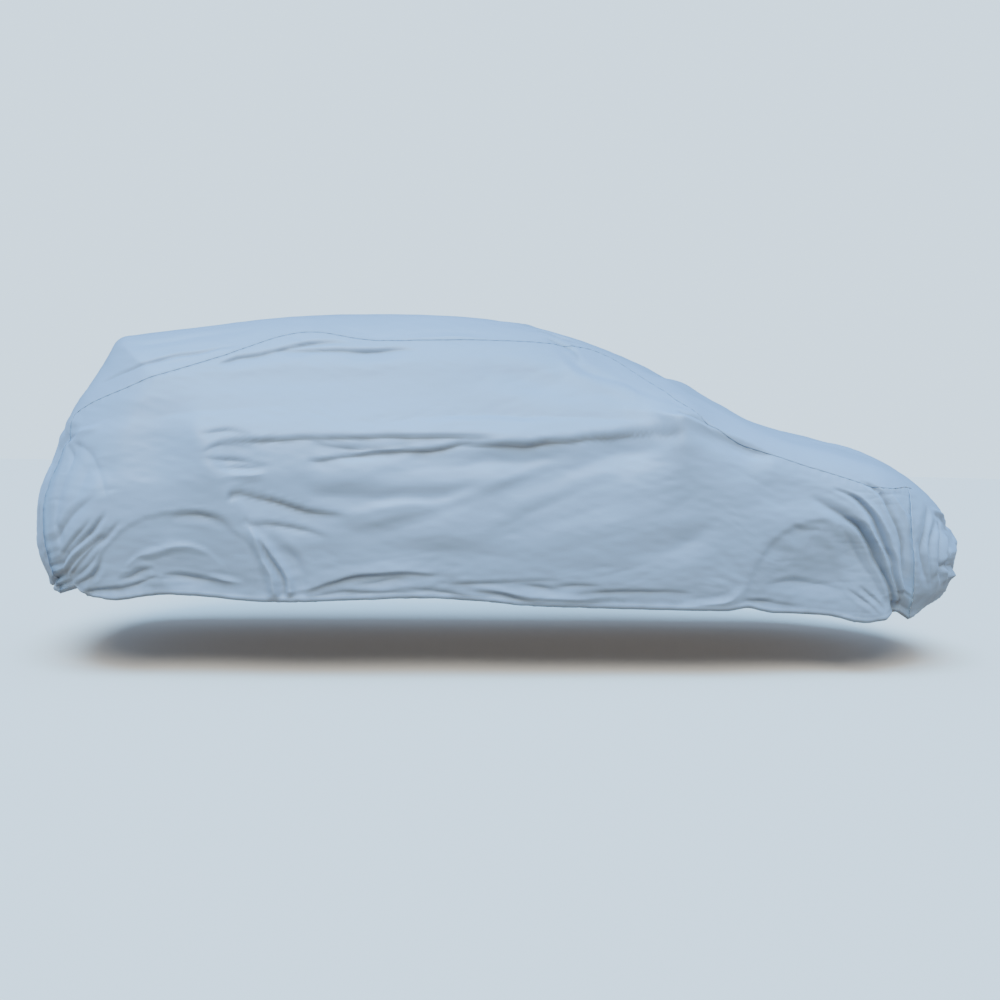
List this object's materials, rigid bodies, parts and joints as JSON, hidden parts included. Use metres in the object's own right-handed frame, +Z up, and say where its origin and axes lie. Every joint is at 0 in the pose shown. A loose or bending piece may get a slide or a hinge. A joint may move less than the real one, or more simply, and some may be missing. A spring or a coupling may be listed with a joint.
{
  "type": "car cover",
  "caption": "Fitted cloth cover for a small hatchback, sewn from a long centre panel and a panel for each side, hanging open below with a gathered elastic hem.",
  "frame": {"origin": "on the underside of the cover's roof at its highest point, on the car's middle line, where the car's roof holds it up", "axes": "+X towards the nose of the covered car, +Y towards its left side, +Z up"},
  "size_m": [4.0293, 1.7755, 1.2613],
  "materials": {
    "centre_cloth": "silver-blue coated polyester cloth with a soft sheen",
    "side_cloth": "silver-blue coated polyester cloth with a soft sheen"
  },
  "bodies": {
    "root": {"centre_panel": "centre_cloth", "side_panel_near": "side_cloth", "side_panel_far": "side_cloth"}
  },
  "joints": []
}
